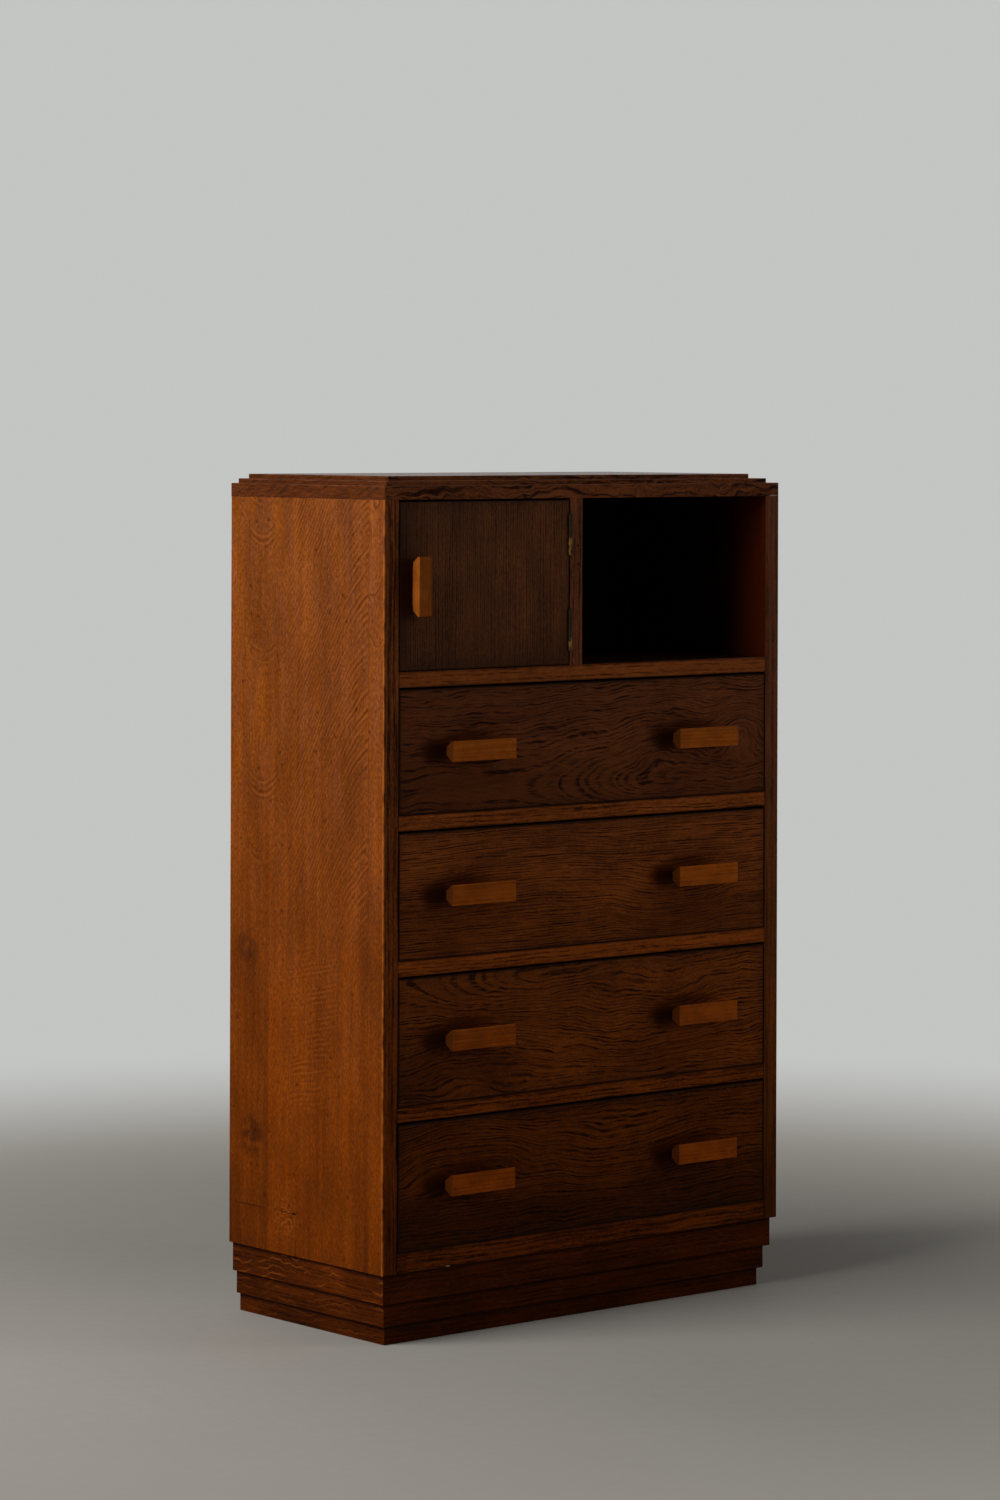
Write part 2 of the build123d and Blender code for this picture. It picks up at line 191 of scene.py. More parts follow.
def toned(colour, tone):
    """The same stain, lighter or darker."""
    return tuple(channel * tone for channel in colour[:3]) + (1.0,)


# How deep the open grain lies, and the cast of every stain near the floor, where it has kept its red, and
# at the top, where it has faded.
grain_relief = 0.00022
unfaded = (1.0, 0.86, 0.18, 1.0)
faded = (1.0, 1.17, 2.30, 1.0)
fading_heights = (0.05, 1.00)


def oak(
    finish, along, across, depth, ring, seed, stain, *, pores, run, fine, growth,
    streaks=0.9, rings=1.0, contrast=1.0,
):
    """Stained oak, as its colour, its open pores and its height.

    along runs with the fibres, across and depth square to them, and ring out from the tree's middle, all
    in metres. Streaks of fibre go between a light and a dark stain. A year is a sine of ring over growth,
    strong in some years and weak in others, and short dark pores gather in its open part. run and fine
    count the pores in a metre with and across the grain. pores, streaks and rings say how far the pores,
    the fibres and the years show, and contrast how far the stain's shades spread.
    """
    light, dark, pore = stain
    fibre = finish.noise(along * run * 0.2 + seed, across * fine * 0.6, depth * fine * 0.6, 3.0) - 0.5
    cloud = finish.noise(along * 8.0, across * 22.0 + seed, depth * 22.0, 3.0) - 0.5
    speckle = finish.noise(along * run * 4.0 + seed, across * fine * 1.5, depth * fine * 1.5, 2.0) - 0.5
    grit = finish.noise(along * 260.0, across * 380.0, depth * 380.0 + seed, 2.0) - 0.5
    drift = finish.noise(along * 3.5, ring * 110.0, seed, 3.0) * 2.6
    strong_year = finish.noise(along * 9.0, ring * (0.6 / growth), seed + 2.0).between(0.34, 0.62)
    year = (ring / growth + drift).wave().between(-0.4, 0.8) * (strong_year * 0.75 + 0.25)
    shade = (fibre * streaks + cloud * 1.4 + speckle + grit * 0.7 - year * (0.15 * rings)) * contrast + 0.6
    dash = finish.noise(along * run, across * fine + seed, depth * fine, 2.0).between(0.40, 0.57)
    gathered = 0.78 * rings
    open_pores = dash * (year * gathered + (1.0 - gathered))
    colour = finish.mix(shade, dark, light)
    colour = finish.mix(year * (0.24 * rings * contrast), colour, pore)
    colour = finish.mix(open_pores * pores, colour, pore)
    colour = finish.multiply(colour, finish.mix(finish.z.between(*fading_heights), unfaded, faded))
    height = speckle * 0.3 + fibre * 0.3 - open_pores * 0.6
    return colour, open_pores, height


side_low, side_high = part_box("left_side")
side_depth = side_high.y - side_low.y
strip_width = 0.0285
seam_place = side_depth - strip_width

# Each glued strip of a side: where it starts from the back edge, and how light it is low down and high up.
side_strips = [
    (0.0000, 0.86, 1.10),
    (0.0290, 0.97, 0.97),
    (0.0775, 1.16, 0.96),
    (0.1170, 1.06, 0.99),
    (0.1470, 1.02, 1.08),
    (0.1760, 1.02, 0.95),
    (0.2350, 0.97, 1.05),
    (seam_place, 1.13, 1.10),
]

side_light = (0.262, 0.060, 0.0051, 1.0)
side_dark = (0.098, 0.0195, 0.0016, 1.0)
side_pore = (0.034, 0.0075, 0.0010, 1.0)
edge_pore = (0.014, 0.0042, 0.0014, 1.0)
ray_light = (0.33, 0.090, 0.011, 1.0)
orange_cast = (1.03, 0.97, 0.30, 1.0)
brown_cast = (0.97, 1.03, 1.65, 1.0)
# The inside's dark stain with painted shade, and a painted glow of light near its front.
inside_stain_and_shade = (0.010, 0.0035, 0.0014, 1.0)
painted_inside_glow = (0.085, 0.0125, 0.0012, 1.0)
# Pale rubbed oak, which also paints a highlight along the front arris.
rubbed_oak_and_highlight = (0.46, 0.125, 0.014, 1.0)
scuff = (0.40, 0.30, 0.21, 1.0)
hole_black = (0.006, 0.003, 0.002, 1.0)

# The heights between which the lower tones give way to the upper ones, and half the blur of a strip's edge.
strip_change = (0.34, 0.64)
strip_blur = 0.0025

# A dark patch low down: over which distances from the back edge and over which heights it comes and goes.
patch_depths = (0.024, 0.032), (0.076, 0.079)
patch_heights = (0.17, 0.24), (0.40, 0.47)


def strip_tones(finish, colour, back, seed):
    """The glued strips: a tone that steps at each seam, from one row of tones low down to another high up.
    Over it lie upright streaks, clouds and a slanting mottle, where the wood took the stain differently."""
    upper = finish.z.between(*strip_change)
    _, foot, head = side_strips[0]
    tone = upper * (head - foot) + foot
    for (_, foot_before, head_before), (start, foot, head) in zip(side_strips[:-1], side_strips[1:]):
        foot_step = foot - foot_before
        head_step = head - head_before
        step = upper * (head_step - foot_step) + foot_step
        tone = tone + back.between(start - strip_blur, start + strip_blur) * step
    streak = finish.noise(finish.y * 110.0, finish.z * 3.5, seed, 3.0).between(0.28, 0.72)
    cloudy = finish.noise(finish.y * 16.0, finish.z * 11.0, seed, 3.0).between(0.25, 0.75)
    dark_patch = back.within(*patch_depths) * finish.z.within(*patch_heights)
    # Painted shade darkens the side towards its foot, and painted light brightens its upper part.
    painted_foot_shade = finish.z.between(0.30, 0.11) * 0.22 + finish.z.between(0.110, 0.087) * 0.10
    painted_head_light = finish.z.between(0.58, 0.82) * 0.10
    tone = tone + streak * 0.28 + cloudy * 0.16 - dark_patch * 0.16 - painted_foot_shade + painted_head_light
    colour = finish.multiply(colour, tone - 0.11)
    hue = finish.noise(finish.y * 75.0, finish.z * 10.0, seed + 7.0, 4.0).between(0.30, 0.70)
    hue = hue * 0.75 + back / side_depth * 0.35 - finish.z.between(0.5, 0.1) * 0.15
    colour = finish.multiply(colour, finish.mix(hue, orange_cast, brown_cast))
    slant = finish.z * 110.0 + finish.y * 210.0
    mottle = finish.noise(finish.y * 150.0 - finish.z * 150.0, slant, seed, 3.0).between(0.40, 0.68)
    return finish.mix(mottle * 0.45, colour, side_dark)


def ray_lines(finish, level, spacing, wander, length, seed):
    """Rays along lines of equal level: a pale and a dark edge side by side, in lengths broken by noise."""
    turn = (level / spacing + wander).wave()
    broken = finish.noise(finish.y / length, level * 90.0, seed, 1.0).between(0.42, 0.56)
    return turn.between(0.50, 1.0) * broken, turn.between(-0.45, -1.0) * broken


# The feathers' steepest rise, and the shares of the side's depth at which it starts and over which it goes.
feather_slope = 1.7
feather_start = 0.15
feather_run = 0.85

# The spacing and the usual length of each kind of ray, and the slope of the level ones.
feather_spacing = 0.0095
feather_length = 0.030
level_spacing = 0.0062
level_length = 0.035
level_slope = 0.2
cup_spacing = 0.0080
cup_length = 0.040

# The cups' middle line, how sharply they bend and how they tilt, and how much of the noise a curl takes.
cup_middle = 0.060
cup_bend = 16.0
cup_tilt = 0.1
curl_width = 0.022

# Where each kind of ray lies: over which distances from the back edge, and over which heights.
feather_depths = (0.085, 0.140), (seam_place - 0.002, seam_place)
feather_heights = (0.40, 0.58)
level_depths = (0.105, 0.135), (0.185, 0.225)
level_heights = (0.25, 0.29), (0.43, 0.48)
cup_depths = (0.030, 0.042), (0.080, 0.100)
cup_heights = (0.47, 0.53)
curl_depths = (seam_place, seam_place + 0.003)
curl_heights = (0.74, 0.84)


def side_rays(finish, colour, back, face, seed):
    """Rays of a side, which are level sets of z - H(back). In the upper front half H is a cosine, steep in
    the middle of the board and flat near the front, so that they rise like feathers. Below the middle H is
    a gentle slope, and near the back a parabola, which makes cups. On the front strip the zero lines of a
    noise make curls."""
    wander = finish.noise(finish.y * 26.0, finish.z * 26.0, seed, 2.0) * 1.4
    swing = ((back / side_depth - feather_start) * (math.pi / feather_run)).apply("COSINE")
    feather_level = finish.z + swing * (feather_slope * feather_run / math.pi * side_depth)
    feather, feather_shade = ray_lines(
        finish, feather_level, feather_spacing, wander, feather_length, seed + 3.0
    )
    comb = back.between(seam_place - 0.036, seam_place - 0.020) * 0.4 + 0.75
    feather_zone = back.within(*feather_depths) * finish.z.between(*feather_heights) * comb

    level, level_shade = ray_lines(
        finish, finish.z - back * level_slope, level_spacing, wander, level_length, seed + 4.0
    )
    level_zone = back.within(*level_depths) * finish.z.within(*level_heights) * 0.6

    cup_level = finish.z - ((back - cup_middle) ** 2.0) * cup_bend + back * cup_tilt
    cup, cup_shade = ray_lines(finish, cup_level, cup_spacing, wander * 0.8, cup_length, seed + 5.0)
    cup_zone = back.within(*cup_depths) * finish.z.between(*cup_heights)
    cup_zone = cup_zone * finish.noise(0.0, cup_level * 24.0, seed + 9.0).between(0.50, 0.58) * 0.75

    curl = finish.noise(finish.y * 26.0, finish.z * 17.0, seed + 8.0, 0.0) - 0.5
    curl_zone = back.between(*curl_depths) * finish.z.between(*curl_heights) * 0.8

    fade = finish.noise(finish.y * 9.0, finish.z * 7.0, seed + 6.0, 1.0).between(0.30, 0.54) * 0.75 + 0.25
    pale = (feather * feather_zone + level * level_zone) * fade + cup * cup_zone
    pale = pale + curl.near(0.0, curl_width) * curl_zone
    shaded = (feather_shade * feather_zone + level_shade * level_zone) * fade + cup_shade * cup_zone
    shaded = shaded + curl.near(0.030, curl_width) * curl_zone
    colour = finish.mix(pale * face * 0.55, colour, ray_light)
    return finish.mix(shaded * face * 0.8, colour, side_dark)


def side_finish(name, seed, outward, edge_stain, edge_pores, edge_contrast):
    """A side board, as its finish, colour, pores and height, and a mask of its wide faces. outward is the x
    of its outer face, and the stain, the pores and the contrast of its front edge are given. back is the
    distance from its back edge."""
    finish = Finish(name, Specular_IOR_Level=0.03)
    back = side_high.y - finish.y
    face = finish.facing("X").between(0.6, 0.9)
    straight = finish.y + finish.noise(finish.y * 5.0, finish.z * 2.5, seed) * 0.004
    stain = (side_light, side_dark, side_pore)
    colour, pores, height = oak(
        finish, finish.z, straight, finish.x, straight, seed, stain,
        pores=0.3, run=150.0, fine=520.0, growth=0.025, streaks=0.28, rings=0.2,
    )
    colour = strip_tones(finish, colour, back, seed)
    colour = side_rays(finish, colour, back, face, seed)

    # Specks of old polish that stand out dark.
    sockets = {"Vector": finish.place, "Scale": 75.0, "Randomness": 1.0}
    cell = finish.node("ShaderNodeTexVoronoi", {}, sockets)
    pick = finish.noise(finish.x * 45.0, finish.y * 45.0, finish.z * 45.0 + seed, 1.0).between(0.5, 0.64)
    colour = finish.mix(cell.between(0.28, 0.05) * pick * 0.65, colour, side_pore)

    # A darker seam beside the glued strip along the front edge.
    seam = (finish.y - side_low.y).near(strip_width, 0.0013)
    seam = seam * finish.noise(0.0, 1.0, finish.z * 30.0, 2.0).between(0.3, 0.6)
    colour = finish.mix(seam * 0.55 * face, colour, side_dark)

    # The front edge is flat-sawn, with long dark pores, and darker towards its foot.
    lean = finish.x + finish.noise(finish.z * 5.0, finish.x * 20.0, seed, 2.0) * 0.010
    stain = (edge_stain, toned(edge_stain, 0.4), edge_pore)
    edge, _, _ = oak(
        finish, finish.z, lean, finish.y, lean, seed, stain,
        pores=edge_pores, run=48.0, fine=330.0, growth=0.0080, contrast=edge_contrast,
    )
    edge = finish.multiply(edge, finish.z.between(0.10, 0.34) * 0.58 + 0.50)
    colour = finish.mix(finish.facing("Y").between(0.5, 0.8), colour, edge)

    # The inside is stained dark and painted nearly black as shade, and a painted glow of light warms it
    # near the front.
    inward = finish.x - outward if outward < 0 else outward - finish.x
    painted_glow = (finish.y - side_low.y).between(0.11, 0.0)
    inner_colour = finish.mix(painted_glow, inside_stain_and_shade, painted_inside_glow)
    colour = finish.mix(inward.between(0.010, 0.016) * face, colour, inner_colour)
    return finish, colour, pores, height, face


left_oak, colour, pores, height, face = side_finish(
    "stained_oak_left_side", seed=2.0, outward=side_low.x,
    edge_stain=(0.225, 0.053, 0.0066, 1.0), edge_pores=0.97, edge_contrast=1.6,
)

# Two dark smudges on the left side: the middle and the reach of each along y and z, and how dark it is.
smudges = [
    ((0.121, 0.026), (0.444, 0.030), 0.6),
    ((0.115, 0.030), (0.222, 0.035), 0.8),
]
blur = left_oak.noise(left_oak.y * 60.0, left_oak.z * 60.0, 1.0, 2.0).between(0.3, 0.65)
for along_y, along_z, darkness in smudges:
    smudge = left_oak.spot(y=along_y, z=along_z) * blur
    colour = left_oak.mix(smudge * darkness, colour, side_pore)

# Low down, a patch of curly figure, and a scratch that goes on as a crack and ends in a dent.
scratch_height = 0.1360
flame_zone = left_oak.spot(y=(0.047, 0.030), z=(0.130, 0.033)) * face * 0.4
flame = left_oak.noise(left_oak.y * 160.0, left_oak.z * 240.0, 4.0, 3.0)
colour = left_oak.mix(flame.between(0.45, 0.62) * flame_zone, colour, ray_light)
colour = left_oak.mix(flame.between(0.47, 0.36) * flame_zone, colour, side_pore)
scratch = left_oak.spot(y=(0.117, 0.040), z=(scratch_height, 0.0013)) * face
colour = left_oak.mix(scratch * 0.85, colour, side_pore)
crack_line = left_oak.noise(left_oak.y * 90.0, 0.0, 6.0, 2.0) * 0.006 + (scratch_height - 0.003)
crack = abs((left_oak.z - crack_line) / 0.0012).between(1.0, 0.2)
crack = crack * left_oak.spot(y=(0.045, 0.027)) * face
colour = left_oak.mix(crack * 0.95, colour, side_pore)
dent = left_oak.spot(y=(0.0305, 0.0050), z=(scratch_height, 0.0019)) * face
colour = left_oak.mix(dent, colour, hole_black)

# Fine checks at the foot, and a front arris that is rubbed pale with a painted highlight, and nicked.
end_check = left_oak.noise(left_oak.y * 170.0, left_oak.z * 6.0, 2.0, 2.0).between(0.60, 0.72)
end_check = end_check * left_oak.z.between(0.118, 0.088) * face
colour = left_oak.mix(end_check * 0.75, colour, side_pore)
corner = (left_oak.y - side_low.y).between(0.0030, 0.0008)
corner = corner * (left_oak.x - side_low.x).between(0.0026, 0.0008)
rubbed_and_highlit = corner * left_oak.noise(0.0, 0.0, left_oak.z * 40.0, 3.0).between(0.36, 0.6)
colour = left_oak.mix(rubbed_and_highlit * 0.75, colour, rubbed_oak_and_highlight)
nick = corner * left_oak.noise(0.0, 0.0, left_oak.z * 260.0, 1.0).between(0.68, 0.74)
colour = left_oak.mix(nick * 0.7, colour, scuff)
left_oak.surface(colour, pores * 0.2 + 0.46, height - dent * 2.0, grain_relief)
left_oak.put_on("left_side")

right_outer_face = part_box("right_side")[1].x
right_oak, colour, pores, height, _ = side_finish(
    "stained_oak_right_side", seed=9.0, outward=right_outer_face,
    edge_stain=(0.180, 0.050, 0.0115, 1.0), edge_pores=0.42, edge_contrast=0.9,
)
right_oak.surface(colour, pores * 0.2 + 0.46, height, grain_relief)
right_oak.put_on("right_side")


# Plinth
# Three stepped oak boards, mitred at the front corners, carry the carcase and step in towards the floor.
# The stain is darker here, with bright wavy rays along the two side boards, and painted shade lies
# under each ledge.
plinth_light = (0.096, 0.0205, 0.0020, 1.0)
plinth_dark = (0.036, 0.0078, 0.0011, 1.0)
plinth_pore = (0.012, 0.0030, 0.0008, 1.0)
plinth_ray = (0.25, 0.058, 0.006, 1.0)
ledge_shade = (0.007, 0.0022, 0.0008, 1.0)
plinth_ray_spacing = 0.0095

# The heights of the ledges: the plinth's two steps, and its top under the carcase.
plinth_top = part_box("plinth_front")[1].z
plinth_ledges = [0.022, 0.050, plinth_top]


def plinth_finish(name, long_axis, seed, rays, lightness):
    """Oak with its grain along one level axis. The rays are level sets of z plus a wavy line along it."""
    finish = Finish(name, Specular_IOR_Level=0.03)
    along, depth = (finish.x, finish.y) if long_axis == "X" else (finish.y, finish.x)
    ring = finish.z + finish.noise(along * 14.0, finish.z * 10.0, seed, 2.0) * 0.006
    stain = (plinth_light, plinth_dark, plinth_pore)
    colour, pores, height = oak(
        finish, along, ring, depth, ring, seed, stain,
        pores=0.55, run=100.0, fine=380.0, growth=0.006, contrast=0.9,
    )
    blotch = finish.noise(along * 11.0, finish.z * 28.0, seed + 9.0, 3.0).between(0.3, 0.7)
    tone = (blotch * 0.5 + 0.75) * (finish.z.between(0.0, 0.09) * 0.2 + lightness)
    colour = finish.multiply(colour, tone)
    wavy = finish.noise(along * 20.0, finish.z * 14.0, seed + 2.0, 3.0)
    ray = (finish.z / plinth_ray_spacing + along * 8.0 + wavy * 4.2).wave().between(0.62, 1.0)
    shown = finish.noise(along * 19.0, finish.z * 70.0, seed + 5.0, 1.0).between(0.43, 0.60)
    shown = shown * (finish.z.between(0.015, 0.075) * 0.7 + 0.3)
    colour = finish.mix(ray * shown * rays, colour, plinth_ray)
    # Painted shade in a band just under each ledge.
    for ledge in plinth_ledges:
        ledge_shadow = (ledge - finish.z).within((-0.0003, 0.0002), (0.0015, 0.0065))
        colour = finish.mix(ledge_shadow * 0.7, colour, ledge_shade)
    finish.surface(colour, pores * 0.2 + 0.5, height, grain_relief)
    return finish


plinth_finish("stained_oak_plinth_front", "X", seed=4.0, rays=0.12, lightness=0.66).put_on("plinth_front")
plinth_finish("stained_oak_plinth_left", "Y", seed=7.0, rays=0.65, lightness=0.96).put_on("plinth_left")
plinth_finish("stained_oak_plinth_right", "Y", seed=12.0, rays=0.65, lightness=0.96).put_on("plinth_right")


# Rails and shelf
# Straight-grained oak rails between the drawers, stub-tenoned into the sides, and the shelf above them.
# Their fronts are a lighter brown than the drawers, with dark lines of pores that run their whole length.
rail_light = (0.320, 0.074, 0.0085, 1.0)
rail_dark = (0.140, 0.030, 0.0038, 1.0)
rail_pore = (0.018, 0.0050, 0.0014, 1.0)
front_plane = side_low.y
opening_half_width = -side_high.x

# For each rail: how light it is, darker towards the bottom, how far its grain sways, and how strongly
# the grain shows.
rails = {
    "bottom_rail": (0.50, 0.016, 2.2),
    "rail_4": (0.74, 0.009, 1.6),
    "rail_3": (1.12, 0.008, 0.8),
    "rail_2": (1.10, 0.018, 1.15),
    "shelf_board": (1.05, 0.009, 0.65),
}


def stain_and_shade_behind(finish, colour):
    """The given colour on the front, and behind it the inside's dark stain, painted nearly black as shade.
    """
    return finish.mix((finish.y - front_plane).between(0.002, 0.012), colour, inside_stain_and_shade)


for place, (node, (tone, sway, contrast)) in enumerate(rails.items()):
    rail_oak = Finish("stained_oak_" + node, Specular_IOR_Level=0.03)
    across = rail_oak.z + rail_oak.noise(rail_oak.x * 8.0, rail_oak.z * 8.0, place * 5.0, 2.0) * sway
    stain = (toned(rail_light, tone), toned(rail_dark, tone), rail_pore)
    colour, pores, height = oak(
        rail_oak, rail_oak.x, across, rail_oak.y, across, place * 7.0, stain,
        pores=min(0.95, 0.55 + 0.25 * contrast), run=62.0, fine=420.0, growth=0.0060, contrast=contrast,
    )

    # Painted gap shade along the upper and lower edges, dark lines at the joints with the sides, and a
    # pale chip on the bottom rail.
    rail_low, rail_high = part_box(node)
    gap_shade = (rail_oak.z - rail_low.z).least(rail_high.z - rail_oak.z).between(0.0022, 0.0004)
    colour = rail_oak.mix(gap_shade * 0.55, colour, rail_pore)
    joint = (opening_half_width - abs(rail_oak.x)).between(0.0018, 0.0006)
    colour = rail_oak.mix(joint * 0.7, colour, rail_pore)
    chip = rail_oak.spot(x=(-0.218, 0.0045), y=(front_plane, 0.004), z=(0.0860, 0.0011))
    colour = stain_and_shade_behind(rail_oak, rail_oak.mix(chip, colour, scuff))
    rail_oak.surface(colour, pores * 0.2 + 0.44, height, grain_relief)
    rail_oak.put_on(node)


# Partition
# The upright between the door and the open compartment: straight oak, tongued into the shelf and the top.
# Its front edge carries the hinges, and two old nail holes show beside them.
partition_light = (0.235, 0.064, 0.0130, 1.0)
partition_dark = (0.105, 0.0285, 0.0062, 1.0)
nail_hole_place = -0.0175
nail_hole_heights = [0.933, 0.911]
nail_hole_reach = 0.0024

partition_oak = Finish("stained_oak_partition", Specular_IOR_Level=0.035)
sway = partition_oak.noise(partition_oak.z * 7.0, partition_oak.x * 20.0, 3.0, 2.0) * 0.006
across = partition_oak.x + sway
stain = (partition_light, partition_dark, rail_pore)
colour, pores, height = oak(
    partition_oak, partition_oak.z, across, partition_oak.y, across, 31.0, stain,
    pores=0.75, run=70.0, fine=460.0, growth=0.0052,
)
for hole_height in nail_hole_heights:
    hole = partition_oak.spot(x=(nail_hole_place, nail_hole_reach), z=(hole_height, nail_hole_reach))
    colour = partition_oak.mix(hole * 0.85, colour, hole_black)
colour = stain_and_shade_behind(partition_oak, colour)
partition_oak.surface(colour, pores * 0.2 + 0.46, height, grain_relief)
partition_oak.put_on("partition")


# Back and inner softwood
# A thin back board held in rabbets by steel screws, and softwood runners, stops and back of the plinth.
# The wood has gone brown with age and dust, and only the back's inner face is stained dark with the
# rest of the inside and painted nearly black as shade.
pine_light = (0.42, 0.24, 0.105, 1.0)
pine_dark = (0.24, 0.118, 0.045, 1.0)


def softwood(name, long_axis, seed, tone, gloss=0.2):
    """Plain softwood: pale wood with narrow dark ring lines. They are level sets of the distance across
    the grain plus strong noise drawn out along it, so that some close up and others end in long points."""
    finish = Finish(name, Specular_IOR_Level=gloss)
    axes = {"X": finish.x, "Y": finish.y, "Z": finish.z}
    along = axes.pop(long_axis)
    ring, depth = axes.values()
    bend = finish.noise(along * 1.6, ring * 7.0 + seed, depth * 7.0, 3.0) * 8.0
    band = (ring * 30.0 + depth * 18.0 + bend).wave().between(-0.2, 1.0)
    fibre = finish.noise(along * 14.0, ring * 420.0, depth * 420.0 + seed, 3.0)
    age = finish.noise(along * 7.0, ring * 9.0 + seed, depth * 9.0, 3.0)
    shade = band * band * 0.4 + fibre * 0.6 + age * 0.6 - 0.35
    colour = finish.mix(shade, toned(pine_light, tone), toned(pine_dark, tone))
    finish.surface(colour, age * 0.2 + 0.55, fibre, relief=0.00015)
    return finish


softwood("plain_softwood_runners", "Y", seed=1.0, tone=0.75).put_on("drawer_runners")
softwood("plain_softwood_stops", "X", seed=2.0, tone=0.6).put_on("drawer_stops")
softwood("plain_softwood_door_stop", "Z", seed=3.0, tone=0.2).put_on("door_stop")
softwood("plain_softwood_plinth_back", "X", seed=4.0, tone=0.7).put_on("plinth_back")

back_low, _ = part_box("back_panel")
back_board = softwood("back_board", "Z", seed=5.0, tone=0.5, gloss=0.03)
# Its inner face takes the inside's dark stain and painted shade.
inner_face = (back_board.y - back_low.y).between(0.0016, 0.0006)
back_board.paint(back_board.mix(inner_face, back_board.colour, toned(inside_stain_and_shade, 0.6)))
back_board.put_on("back_panel")

steel_grey = (0.20, 0.18, 0.16, 1.0)
steel_brown = (0.09, 0.055, 0.035, 1.0)
screw_steel = Finish("screw_steel", Metallic=0.85, Specular_IOR_Level=0.4)
tarnish = screw_steel.noise(screw_steel.x * 700.0, screw_steel.y * 700.0, screw_steel.z * 700.0, 2.0)
colour = screw_steel.mix(tarnish.between(0.4, 0.7), steel_grey, steel_brown)
screw_steel.surface(colour, tarnish * 0.4 + 0.3, tarnish, relief=0.00005)
screw_steel.put_on("back_screws", "door_handle_screws")
screw_steel.put_on(*[f"drawer_{n}_handle_screws" for n in range(1, 5)])


# Stepped top
# Three oak boards, each smaller than the one below and flush at the back, with the grain along the chest.
# The front edge of the lowest has wavy figure, and the upper arrises of all three are rubbed lighter
# and carry a painted highlight.
top_light = (0.220, 0.053, 0.0080, 1.0)
top_dark = (0.072, 0.0170, 0.0032, 1.0)
top_pore = (0.012, 0.0040, 0.0015, 1.0)
top_end = (0.110, 0.0235, 0.0024, 1.0)
top_rubbed_and_highlight = (0.30, 0.105, 0.032, 1.0)

for place, node in enumerate(["top_lower_board", "top_middle_board", "top_upper_board"]):
    top_oak = Finish("stained_oak_" + node, Specular_IOR_Level=0.03)
    polished = top_oak.facing("Z").between(0.5, 0.9)
    sway = top_oak.noise(top_oak.x * 17.0, top_oak.z * 24.0, top_oak.y * 4.0 + place * 3.0, 2.0) * 0.040
    across = top_oak.z + sway * (1.0 - polished * 0.75)
    ring = across + top_oak.y * 0.5
    stain = (top_light, top_dark, top_pore)
    colour, pores, height = oak(
        top_oak, top_oak.x, across, top_oak.y, ring, place * 9.0 + 2.0, stain,
        pores=0.9, run=62.0, fine=380.0, growth=0.0085, contrast=1.7,
    )
    fleck = top_oak.noise(top_oak.x * 300.0, top_oak.y * 60.0, top_oak.z * 500.0, 3.0).between(0.3, 0.7)
    end_grain = top_oak.mix(fleck * 0.75, top_end, top_pore)
    colour = top_oak.mix(top_oak.facing("X").between(0.5, 0.85) * 0.8, colour, end_grain)

    # The rubbed upper arris with a painted highlight, and a pale chip at the right end of the lowest board.
    _, board_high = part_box(node)
    arris_wear_and_highlight = (board_high.z - top_oak.z).between(0.0016, 0.0005) * top_oak.facing("Z").between(0.5, 0.1)
    arris_wear_and_highlight = arris_wear_and_highlight * top_oak.noise(top_oak.x * 30.0, top_oak.y * 30.0, 1.0, 2.0).between(0.35, 0.65)
    colour = top_oak.mix(arris_wear_and_highlight * 0.6, colour, top_rubbed_and_highlight)
    chip = top_oak.spot(x=(0.3085, 0.0090), y=(front_plane, 0.004), z=(0.9911, 0.0009))
    colour = top_oak.mix(chip, colour, scuff)
    roughness = pores * 0.2 + 0.4 - polished * 0.2
    top_oak.surface(colour, roughness, height * (1.0 - polished * 0.9), grain_relief)
    top_oak.put_on(node)


# Hinges
# Two small brass butt hinges let into the partition and the door, with their knuckles proud of the front.
# The brass has gone brown and dull, and shows gold only where the lower end of each is rubbed.
brass_brown = (0.026, 0.016, 0.009, 1.0)
brass_gold = (0.18, 0.095, 0.024, 1.0)
rubbed_reach = 0.0135
hinge_brass = Finish("hinge_brass", Metallic=1.0)
patina = hinge_brass.noise(hinge_brass.x * 260.0, hinge_brass.y * 260.0, hinge_brass.z * 150.0, 3.0)
upper_rubbed = hinge_brass.spot(z=(0.9325, rubbed_reach))
lower_rubbed = hinge_brass.spot(z=(0.8180, rubbed_reach))
gold = (upper_rubbed + lower_rubbed) * patina.between(0.62, 0.42)
colour = hinge_brass.mix(gold, brass_brown, brass_gold)
hinge_brass.surface(colour, patina * 0.4 + 0.3, patina, relief=0.0001)
hinge_brass.put_on(
    "hinge_frame_leaves", "hinge_pins", "hinge_frame_screws", "hinge_door_leaves", "hinge_door_screws"
)


# Door
# One flush board with fine upright grain, dark brown, hung on its right edge.
# Hands have darkened it round the handle and along its edges. A shadow is painted beside the handle,
# and painted gap shade lies in a thin line along its edges.
door_low, door_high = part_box("door_panel")
door_light = (0.172, 0.050, 0.0092, 1.0)
door_dark = (0.068, 0.0200, 0.0043, 1.0)
door_pore = (0.016, 0.0060, 0.0024, 1.0)
# Grime, and the painted shade of the gaps along the edges.
grime_and_gap_shade = (0.012, 0.006, 0.004, 1.0)
# Hand grime and painted shadow round the handles.
handle_grime_and_shadow = (0.027, 0.0046, 0.0004, 1.0)
touched_width = 0.085


def edge_gap(finish, low, high):
    """Distance on the front face to the nearest edge of a board from low to high."""
    sideways = (finish.x - low.x).least(high.x - finish.x)
    upright = (finish.z - low.z).least(high.z - finish.z)
    return sideways.least(upright)


